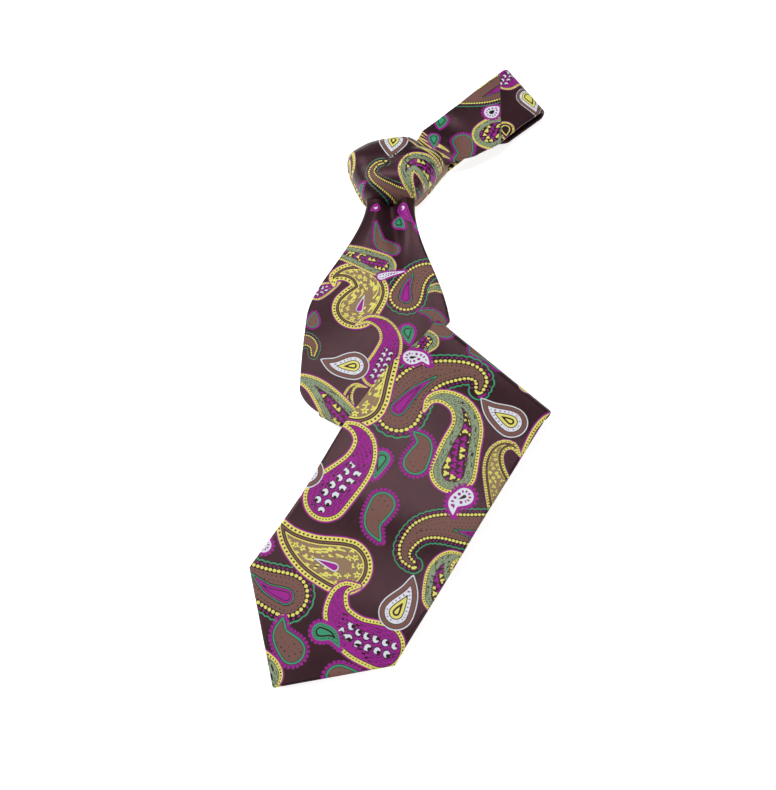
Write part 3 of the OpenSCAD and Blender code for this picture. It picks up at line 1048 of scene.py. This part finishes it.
lower_left, lower_right = upper_line(1)
lower_bulge = heading(LOWER_FOLD_HEADING - 90)
lower_flat_left = lower_left - upper_root
lower_flat_right = lower_right - upper_root
lower_roll = roll(
    lower_left, lower_right, lower_bulge, UPPER_Z, HIDDEN_Z,
    lower_flat_left, lower_flat_right, lower_bulge, right_out=0.1,
)
lower_turn = math.pi * (UPPER_Z - HIDDEN_Z) / 2
hidden_part = hidden_rows(lower_flat_left, lower_flat_right, lower_bulge, lower_turn)
upper_blade, upper_wool = build_stretch(
    "upper_blade", upper_rows() + lower_roll[1:] + hidden_part, LOWER_FOLD_W, upper_swell,
    painter(UPPER_BOTEHS), face_step=0.6, back_step=1.2,
)

# ---- The neck loop ----

# How wide the loop is to its right at places along its front, and to its left and right along its back
BAND_PLACES = (-10, NEAR_START, 20, 38, 62, LOOP_END)
BAND_RIGHTS = (13, BAND_ROOT, 22.5, 26.3, 25.6, BAND_RIGHT)
BACK_PLACES = (-6, 32, 48, LOOP_END)
BACK_LEFTS = (15, 15, 15, BAND_LEFT)
BACK_RIGHTS = (15, 15, 25.5, BAND_RIGHT)
BACK_MID_BEND = 46
# Where the join seam crosses the band, along it and to its left
SEAM_START = np.array([77.5, 13.0])
SEAM_END = np.array([45.0, -20.0])
# The cloth is left plain this far past the loop's end, where only its edge shows under the band: the plain
# dark ground there is painted shade from the band above
PLAIN_SHADE_RETURN = 46.0
BAND_SIZE = 0.85


def band_plan(u, v):
    """A plan point u along the neck band from the knot and v to its left."""
    return band_root + u * band_dir + v * turned(band_dir)


def smooth_through(places, values, u):
    """Values eased from one place to the next."""
    k = int(np.clip(np.searchsorted(places, u) - 1, 0, len(places) - 2))
    share = np.clip((u - places[k]) / (places[k + 1] - places[k]), 0, 1)
    soft = 0.5 * share + 0.5 * ease(share)
    return values[k] + soft * (values[k + 1] - values[k])


def end_skew(u, bend):
    """How far a line's ends are moved along the band, as the lines slant towards the loop's slanting end."""
    return END_SKEW * np.clip((u - bend) / (LOOP_END - bend), 0, 1)


def band_rows(start, stop):
    """Lines along the front of the loop."""
    rows = []
    for u in spaced(start, stop, FINE):
        right = smooth_through(BAND_PLACES, BAND_RIGHTS, u)
        left = min(BAND_LEFT, 13 + max(0, u) * 0.4)
        skew = end_skew(u, MID_BEND)
        ends = (u + skew, left), (u - skew, -right)
        rows.append(level_line(band_plan(*ends[0]), band_plan(*ends[1]), BAND_Z, 1, *ends))
    return rows


def back_band_rows():
    """Lines along the back of the loop, from the fold back into the knot, face down."""
    rows = []
    turn = math.pi * (BAND_Z - BACK_BAND_Z) / 2
    for u in spaced(LOOP_END, BACK_PLACES[0], 0.95)[1:]:
        left = smooth_through(BACK_PLACES, BACK_LEFTS, u)
        right = smooth_through(BACK_PLACES, BACK_RIGHTS, u)
        skew = end_skew(u, BACK_MID_BEND)
        rows.append(level_line(
            band_plan(u + skew, left), band_plan(u - skew, -right), BACK_BAND_Z, -1,
            (2 * LOOP_END + END_SKEW - u + turn, left), (2 * LOOP_END - END_SKEW - u + turn, -right),
        ))
    return rows


def band_swell(points):
    """Soft folds where the band leaves the knot, and a slack ripple further on."""
    gap = points[..., :2] - band_root
    u = gap @ band_dir
    v = gap @ turned(band_dir)
    hollow = -1.6 * hump(u - 23, 8) * hump(v - 3, 12)
    ridge = 2.0 * hump(u - 9, 6) * hump(v + 5, 9)
    ripple = 0.5 * np.sin((u - 40) / 9 - v / 17) * ease((u - 30) / 15) * ease((82 - u) / 14)
    return (hollow + ridge + ripple) * (points[..., 2] > 7)


def past_seam(flat):
    """Whether each point lies past the slanting join seam."""
    run = SEAM_END - SEAM_START
    gap = flat - SEAM_START
    return run[0] * gap[:, 1] > run[1] * gap[:, 0]


def band_painting(canvas):
    """One layout before the join seam and another past it, then plain cloth as painted shade, and tiles on
    the loop's back.
    """
    past = past_seam(canvas.flat)
    front = canvas.flat[:, 0] < LOOP_END + END_SKEW + PLAIN_SHADE_RETURN
    paint(canvas, BAND_BOTEHS, wanted=~past & front, size=BAND_SIZE)
    paint(canvas, JOIN_BOTEHS, wanted=past & front, size=BAND_SIZE)
    paint(canvas, BLADE_BOTEHS, wanted=~front, tiled=True)


end_left = (LOOP_END + END_SKEW, BAND_LEFT)
end_right = (LOOP_END - END_SKEW, -BAND_RIGHT)
end_run = band_plan(*end_left) - band_plan(*end_right)
end_bulge = -turned(end_run / np.linalg.norm(end_run))
loop_roll = roll(
    band_plan(*end_left), band_plan(*end_right), end_bulge, BAND_Z, BACK_BAND_Z,
    np.array(end_left), np.array(end_right), np.array([1.0, 0.0]),
)
bands = []
for name, rows in (
    ("neck_near", band_rows(BAND_PLACES[0], NEAR_SPLIT)),
    ("neck_far", band_rows(NEAR_SPLIT, FAR_SPLIT)),
    ("neck_end", band_rows(FAR_SPLIT, LOOP_END) + loop_roll[1:] + back_band_rows()),
):
    bands.append(build_stretch(name, rows, BAND_LEFT + BAND_RIGHT, band_swell, band_painting))
(near_band, near_wool), (far_band, far_wool), (end_band, end_wool) = bands

# ---- The tail ----

# How far from its root in the knot the tail starts to widen, and how much wider it is by its corners
TAIL_FLARE_FROM = 18
TAIL_FLARE = 4


def tail_plan(u, v):
    return tail_root + u * tail_dir + v * turned(tail_dir)


def tail_line(u, half, z, up, travelled):
    return level_line(tail_plan(u, half), tail_plan(u, -half), z, up, (travelled, half), (travelled, -half))


def tail_end_half(u):
    if u > TAIL_CORNER:
        return (TAIL_W + TAIL_FLARE * (TAIL_LEN - u) / (TAIL_LEN - TAIL_CORNER)) / 2
    return (TAIL_W + TAIL_FLARE) / 2 * (u - TAIL_POINT) / (TAIL_CORNER - TAIL_POINT)


def tail_rows():
    """Lines along the tail, down to its fold and back up to its own point."""
    rows = []
    for u in spaced(-TAIL_HOLD, TAIL_LEN, MEDIUM):
        flare = np.clip((u - TAIL_FLARE_FROM) / (TAIL_LEN - TAIL_FLARE_FROM), 0, 1)
        rows.append(tail_line(u, (TAIL_ROOT_W + (TAIL_W - TAIL_ROOT_W) * flare) / 2, TAIL_Z, 1, u))
    half = TAIL_W / 2
    rows += roll(
        tail_plan(TAIL_LEN, half), tail_plan(TAIL_LEN, -half), tail_dir, TAIL_Z, TAIL_END_Z,
        np.array([TAIL_LEN, half]), np.array([TAIL_LEN, -half]), np.array([1.0, 0.0]),
    )[1:]
    turn = math.pi * (TAIL_Z - TAIL_END_Z) / 2
    for u in spaced(TAIL_LEN, TAIL_POINT + BLUNT, MEDIUM)[1:]:
        rows.append(tail_line(u, tail_end_half(u), TAIL_END_Z, -1, 2 * TAIL_LEN - u + turn))
    return rows


tail, tail_wool = build_stretch(
    "tail", tail_rows(), TAIL_W + 2, lambda points: 0, painter(BLADE_BOTEHS, tiled=True),
    face_step=0.8, back_step=1.2,
)

# ---- The knot ----

# Corners of the knot, clockwise from its left one, to the right of and above its middle
KNOT_CORNERS = [(-35.4, 8.0), (-19.0, 20.0), (12.0, 26.0), (34.1, 7.6), (10.6, -25.1), (-21.7, -24.7)]
KNOT_TOP = 27.0
KNOT_RIM = 11.5
KNOT_POINTS = 340
# Half the length of the short line in the knot's middle that its rings close in on
KNOT_SPINE = 9.0
WRAP_THICKNESS = 2.2
# Rows of share of the outline, inset from it, height, and how far the cloth has run on past the outline
SIDE_PROFILE = [
    (1.0, 3.6, 4.6, 5.5), (1.0, 1.2, 4.7, 7.0), (1.0, 0.6, 5.4, 6.2), (1.0, 0.2, 6.5, 5.2),
    (1.0, 0.0, 8.0, 4.0), (1.0, 0.0, 9.5, 3.0), (1.0, 0.3, 11.0, 2.0), (1.0, 0.9, 12.3, 1.2),
    (1.0, 2.2, 13.4, 0.6), (1.0, 4.0, 14.2, 0.2), (1.0, 6.5, 14.9, 0), (1.0, 6.9, 12.7, 0),
    (1.0, 3.6, 11.0, 0),
]
BACK_PROFILE = [
    (0.03, 0.0, 4.4, 0.0), (0.9, 0.0, 4.4, 0.0), (1.0, 1.4, 4.6, 5.5), (1.0, 0.8, 3.8, 6.5),
    (1.0, 0.8, 2.4, 8.0), (1.0, 1.6, 1.0, 9.5), (1.0, 3.6, 0.25, 11.5),
    (0.8, 3.0, 0.1, 12.0), (0.4, 2.0, 0.5, 12.0), (0.03, 0.0, 0.7, 12.0),
]
# How large the botehs of the knot's collar are drawn
COLLAR_SIZE = 0.78


def rounded_outline(corners, rounds=4):
    """The corners cut until they are round, then as distances from the middle at even angles."""
    ring = np.array(corners)
    for _ in range(rounds):
        after = np.roll(ring, -1, axis=0)
        ring = np.stack([0.84 * ring + 0.16 * after, 0.16 * ring + 0.84 * after], axis=1).reshape(-1, 2)
    angles = np.arctan2(ring[:, 1], ring[:, 0])
    order = np.argsort(angles)
    theta = np.linspace(-math.pi, math.pi, KNOT_POINTS, endpoint=False)
    reach = np.interp(theta, angles[order], np.hypot(ring[:, 0], ring[:, 1])[order], period=2 * math.pi)
    return theta, reach


knot_theta, knot_reach = rounded_outline(KNOT_CORNERS)
knot_out = np.column_stack([np.cos(knot_theta), np.sin(knot_theta)])


def knot_piece(name, profile, reach, folds, painting):
    """A piece of the knot from a profile that is carried round its outline, with folds laid in it."""
    axis = knot_out * [KNOT_SPINE, 0]
    points = []
    flat = []
    for share, inset, z, run in profile:
        place = axis + share * (knot_out * reach[:, None] - axis) - knot_out * inset
        points.append(np.column_stack([place, np.full(KNOT_POINTS, z)]))
        flat.append(place + knot_out * run)
    points = folds(np.array(points))
    points[:, :, :2] += knot_middle
    return silk_piece(name, points, np.array(flat), np.ones(points.shape[:2], bool), painting)


def front_wrap_profile():
    """From inside the crown down to the rim, round its rolled edge, and up the outside to the crown."""
    outer = []
    inner = []
    for i in range(52):
        phi = math.radians(90 * i / 51)
        share = max(0.02, math.cos(phi) ** 0.7)
        z = KNOT_RIM + (KNOT_TOP - KNOT_RIM) * math.sin(phi) ** 0.85
        outer.append((share, 0.0, z, 0.0))
        if i % 3 == 0:
            narrowed = max(0.015, share - 0.06 * (share > 0.1))
            inner.append((narrowed, WRAP_THICKNESS * 0.5 * share, z - WRAP_THICKNESS, 0.0))
    rim = [
        (1.0, WRAP_THICKNESS * 0.75, KNOT_RIM - WRAP_THICKNESS * 0.75, 0.5),
        (1.0, WRAP_THICKNESS * 0.2, KNOT_RIM - WRAP_THICKNESS * 0.45, 0.3),
    ]
    return inner[::-1] + rim + outer


def denser(profile, count):
    """The profile's rows with more between them, evenly along it."""
    rows = np.array(profile)
    lengths = np.concatenate([[0], np.cumsum(np.hypot(np.diff(rows[:, 1]), np.diff(rows[:, 2])))])
    places = np.linspace(0, lengths[-1], count)
    return np.column_stack([np.interp(places, lengths, column) for column in rows.T])


def wrap_folds(points):
    """Shallow gathers that fan out across the wrap, and a hollow at the middle of its lower edge."""
    x, y, z = points[..., 0], points[..., 1], points[..., 2]
    fan = y / (1 + 0.35 * np.clip(x, -30, 30) / 30)
    gathers = 0.45 * np.sin(fan / 2.6 + 0.6) * hump(x - 20, 26)
    hollow = -3.0 * np.exp(-(x / 8) ** 2 - ((y + 27) / 8) ** 2)
    shoulder = -1.2 * hump(y - 0.55 * x - 4, 2.2) * ease((x - 4) / 16)
    points[..., 2] += (gathers + shoulder) * (z > KNOT_RIM) + hollow
    return points


def side_folds(points):
    """Two creases round the knot's side, where one turn of the strip ends on another."""
    x, y, z = points[..., 0], points[..., 1], points[..., 2]
    out = points[..., :2] / np.maximum(np.linalg.norm(points[..., :2], axis=-1), 1)[..., None]
    angle = np.arctan2(y, x)
    crease = 0.9 * hump(z - 9.5 - 1.2 * np.sin(angle), 0.7)
    crease += 0.8 * hump(z - 6.5 - 0.9 * np.sin(2 * angle + 1), 0.6)
    points[..., :2] -= out * crease[..., None]
    return points


def side_painting(canvas):
    paint(canvas, BLADE_BOTEHS, tiled=True)
    paint(canvas, COLLAR_BOTEHS, size=COLLAR_SIZE)


# The front wrap stops short of the outline at the upper right, where the turn below it shows
wrap_reach = knot_reach - 4.5 * hump(np.degrees(knot_theta) - 45, 26)
front_wrap = knot_piece("knot_front", front_wrap_profile(), wrap_reach, wrap_folds, painter(KNOT_BOTEHS))
side_wrap = knot_piece("knot_side", denser(SIDE_PROFILE, 44), knot_reach, side_folds, side_painting)
back_wrap = knot_piece("knot_back", BACK_PROFILE, knot_reach, lambda points: points, side_painting)

# The turns inside the knot are the part's own
dress(frame["nodes"]["knot_core"], silk)

# ---- Trims ----

# Rings of a stitch: share of its length, and share of its radius
STITCH_RINGS = ((0.0, 0.35), (0.12, 0.85), (0.5, 1.0), (0.88, 0.85), (1.0, 0.35))
STITCH_SIDES = 6


def stitches(name, places, radius, material=sewing_thread):
    """Small stitches: each is a short round-ended thread from one point to another."""
    points = []
    faces = []
    for start, end in places:
        length = np.linalg.norm(end - start)
        along = (end - start) / length
        across = np.cross(along, [0, 0, 1.0])
        across = across / np.linalg.norm(across)
        lift = np.cross(across, along)
        base = len(points)
        for share, size in STITCH_RINGS:
            for k in range(STITCH_SIDES):
                angle = 2 * math.pi * k / STITCH_SIDES
                offset = radius * size * (math.cos(angle) * across + math.sin(angle) * lift)
                points.append(start + along * length * share + offset)
        last = len(points) - STITCH_SIDES
        faces += (ring_faces(len(STITCH_RINGS), STITCH_SIDES) + base).tolist()
        faces += [[base + k for k in reversed(range(STITCH_SIDES))], [last + k for k in range(STITCH_SIDES)]]
    obj = mesh_object(name, points, faces)
    dress(obj, material)
    return obj


def under_front(u, v, gap):
    """A point just under the front blade's back, at a place along and across it."""
    drop = max(0.0, u - LEVEL_LEN) * math.sin(TIP_SLOPE)
    point = plan(blade_plan(u, v), FRONT_Z - HALF_T - drop - gap)
    point[2] += front_swell(point)
    return point


def under_tail(u, v, z):
    return plan(tail_plan(u, v), z)


def on_seam(share):
    """A point on the join seam, pressed a little into the band's face."""
    place = SEAM_START + (SEAM_END - SEAM_START) * share
    point = plan(band_plan(*place), BAND_Z + HALF_T - 0.12)
    point[2] += band_swell(point)
    return point


def tack(place, u, half, level):
    """The ends of a few short threads side by side across the blade."""
    return [(place(u + 0.5 * k, -half, level), place(u + 0.5 * k, half, level)) for k in range(4)]


SLIP_STARTS = [10 + 7.0 * k for k in range(10)]
SEAM_STITCHES = 14
TIP_TACK_AT = 130
TAIL_TACK_AT = TAIL_CORNER + 12
slip_stitch = stitches(
    "slip_stitch", [(under_front(u, -0.6, 0.05), under_front(u + 3.0, 1.0, 0.1)) for u in SLIP_STARTS], 0.22,
)
bar_tack = stitches("bar_tack", tack(under_front, TIP_TACK_AT, 4, 0.12), 0.3)
tail_bar_tack = stitches("tail_tack", tack(under_tail, TAIL_TACK_AT, 3, 2.55), 0.25)
seam_starts = [k / SEAM_STITCHES for k in range(SEAM_STITCHES)]
seam_places = [(on_seam(start), on_seam(start + 1.05 / SEAM_STITCHES)) for start in seam_starts]
join_seam = stitches("join_seam", seam_places, 0.28, seam_silk)


def lining_sheet(name, corners, place, gap):
    """A triangle of lining set into the back of a point, as a thin closed sheet with a soft surface."""
    a, b, c = [np.array(corner, float) for corner in corners]
    steps = 24
    points = []
    index = {}
    for i in range(steps + 1):
        for j in range(steps + 1 - i):
            index[i, j] = len(points)
            spot = a + (b - a) * i / steps + (c - a) * j / steps
            points.append(place(*spot, gap))
    faces = []
    for i in range(steps):
        for j in range(steps - i):
            faces.append((index[i, j], index[i + 1, j], index[i, j + 1]))
            if j < steps - i - 1:
                faces.append((index[i + 1, j], index[i + 1, j + 1], index[i, j + 1]))
    obj = mesh_object(name, points, faces)
    thicken(obj, 0.3, 0)
    dress(obj, lining)
    return obj


HEM = 8.0
lining_left = (BLADE_LEN, BLADE_W / 2 - HEM)
lining_right = (BLADE_LEN, HEM - BLADE_W / 2)
tip_lining = lining_sheet("tip_lining", [(134, 0), lining_left, lining_right], under_front, 0.12)
tip_lining_end = lining_sheet(
    "tip_lining_end", [(BLADE_LEN + TIP_H - HEM, 0), lining_right, lining_left], under_front, 0.12,
)
tail_lining = lining_sheet("tail_lining", [
    (TAIL_POINT + 4, 0), (TAIL_CORNER + 4, TAIL_W / 2 - 1), (TAIL_CORNER + 4, 1 - TAIL_W / 2),
], under_tail, 2.6)


def keeper_band():
    """The keeper: a soft flat loop of cloth sewn across the back of the front blade, open along it."""
    start = 84.0
    length = 12.0
    half = 25.0
    count = 60
    rows = 9
    path = []
    for i in range(count):
        angle = 2 * math.pi * i / count
        v = half * math.copysign(abs(math.cos(angle)) ** 0.35, math.cos(angle))
        drop = 2.1 - 2.0 * math.copysign(abs(math.sin(angle)) ** 0.6, math.sin(angle))
        path.append((v, drop))
    points = []
    for i in range(rows):
        share = i / (rows - 1)
        waist = 1 - 0.015 * math.sin(math.pi * share)
        points += [under_front(start + length * share, v * waist, drop) for v, drop in path]
    obj = mesh_object("keeper", points, ring_faces(rows, count).tolist())
    thicken(obj, 0.8, -1)
    dress(obj, lining)
    return obj


keeper = keeper_band()

# ---- Stage ----

# The camera, in metres from the point it aims at, with its lens and sensor in millimetres
SENSOR = 36
LENS = 45.5696
ELEVATION = math.radians(65)
DISTANCE = 0.592
AIM = Vector((-0.01542, -0.03661, 0))
# Half the floor's side
FLOOR_HALF = 3000
# Name, place, aim, size and watts of each light
LIGHTS = (
    ("sheen", (-0.02, 0.3, 1.05), (0, -0.08, 0), 0.26, 4.5),
    ("key", (-0.85, 0.2, 0.95), (0, 0, 0), 0.5, 10.5),
    ("fill", (0.8, -0.7, 1.0), (0, 0, 0), 0.8, 4.5),
)
SKY_STRENGTH = 0.18


def floor():
    corners = [(-1, -1, 0), (1, -1, 0), (1, 1, 0), (-1, 1, 0)]
    obj = mesh_object("floor", np.array(corners) * FLOOR_HALF, [(0, 1, 2, 3)])
    nodes = Nodes("pale_floor")
    nodes.put(nodes.shader, {
        "Base Color": (0.93, 0.93, 0.93, 1),
        "Roughness": 0.9,
        "Specular IOR Level": 0.1,
        "Emission Color": (1, 1, 1, 1),
        "Emission Strength": 0.7,
    })
    obj.data.materials.append(nodes.material)


def place_at(data, place, aim):
    """A light or a camera at a place, turned to what it aims at."""
    obj = bpy.data.objects.new(data.name, data)
    obj.location = place
    obj.rotation_euler = (Vector(aim) - Vector(place)).to_track_quat("-Z", "Y").to_euler()
    bpy.context.scene.collection.objects.link(obj)
    return obj


def area_light(name, place, aim, size, watts):
    data = bpy.data.lights.new(name, "AREA")
    data.shape = "DISK"
    data.size = size
    data.energy = watts
    place_at(data, place, aim)


def camera():
    data = bpy.data.cameras.new("camera")
    data.sensor_width = SENSOR
    data.lens = LENS
    back = Vector((0, -math.cos(ELEVATION), math.sin(ELEVATION)))
    bpy.context.scene.camera = place_at(data, AIM + back * DISTANCE, AIM)


camera()
floor()
for light in LIGHTS:
    area_light(*light)
world = bpy.data.worlds.new("world")
bpy.context.scene.world = world
world.use_nodes = True
sky = world.node_tree.nodes["Background"]
sky.inputs["Color"].default_value = (1, 1, 1, 1)
sky.inputs["Strength"].default_value = SKY_STRENGTH
bpy.context.scene.view_settings.view_transform = "Standard"

# ---- Riding and replacing ----


def blade_spot(u):
    return (*(blade_plan(u, 0) * MM), 0.015)


def band_spot(u):
    return (*(band_plan(u, 0) * MM), 0.01)


# Pieces that span one body and the next: the bodies, and from where to where in metres. Here only their
# transforms are baked
BLENDS = [
    ((front_blade, front_wool), "upper_blade", "front_blade", (0, 0, 0.0085), (0, 0, 0.013)),
    ((tip, tip_wool), "front_blade", "blade_tip", blade_spot(LEVEL_LEN - 6), blade_spot(LEVEL_LEN + 6)),
    ((upper_blade, upper_wool), "knot", "upper_blade", (-0.0137, 0.093, 0.0), (-0.0137, 0.084, 0.0)),
    ((near_band, near_wool), "knot", "neck_near", band_spot(NEAR_START - 4), band_spot(NEAR_START + 5)),
    ((far_band, far_wool), "neck_near", "neck_far", band_spot(MID_BEND - 7), band_spot(MID_BEND + 7)),
    ((end_band, end_wool), "neck_far", "neck_back", (0, 0, 0.0094), (0, 0, 0.004)),
]
for pieces, first_body, second_body, start, end in BLENDS:
    for piece in pieces:
        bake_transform(piece)

RIDES = {
    "tail": (tail, tail_wool, tail_lining, tail_bar_tack),
    "knot": (front_wrap, side_wrap, back_wrap),
    "front_blade": (slip_stitch, keeper),
    "blade_tip": (bar_tack, tip_lining, tip_lining_end),
    "neck_far": (join_seam,),
}
for body, pieces in RIDES.items():
    for piece in pieces:
        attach(piece, body)

REPLACED = [
    (front_blade, "front_blade_shell front_blade_flaps upper_fold"),
    (front_wool, "front_blade_interlining"),
    (tip, "tip_shell tip_flaps"),
    (tip_wool, "tip_interlining"),
    (upper_blade, "upper_blade_shell upper_blade_flaps lower_fold hidden_blade_shell hidden_blade_flaps"),
    (upper_wool, "upper_blade_interlining hidden_blade_interlining"),
    (near_band, "neck_near_shell neck_near_flaps"),
    (near_wool, "neck_near_interlining"),
    (far_band, "neck_far_shell neck_far_flaps"),
    (far_wool, "neck_far_interlining"),
    (end_band, "neck_fold neck_back_shell neck_back_flaps"),
    (end_wool, "neck_back_interlining"),
    (join_seam, "neck_join_seam"),
    (tail, "tail_shell tail_flaps tail_fold tail_end_shell tail_end_flaps"),
    (tail_wool, "tail_interlining tail_end_interlining"),
    (tail_lining, "tail_lining"),
    (tail_bar_tack, "tail_bar_tack"),
    (front_wrap, "knot_front_wrap"),
    (side_wrap, "knot_side_wrap"),
    (back_wrap, "knot_back_wrap"),
    (slip_stitch, "front_slip_stitch"),
    (keeper, "keeper_loop"),
    (bar_tack, "tip_bar_tack"),
    (tip_lining, "tip_lining"),
]
for piece, nodes in REPLACED:
    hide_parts(*nodes.split())
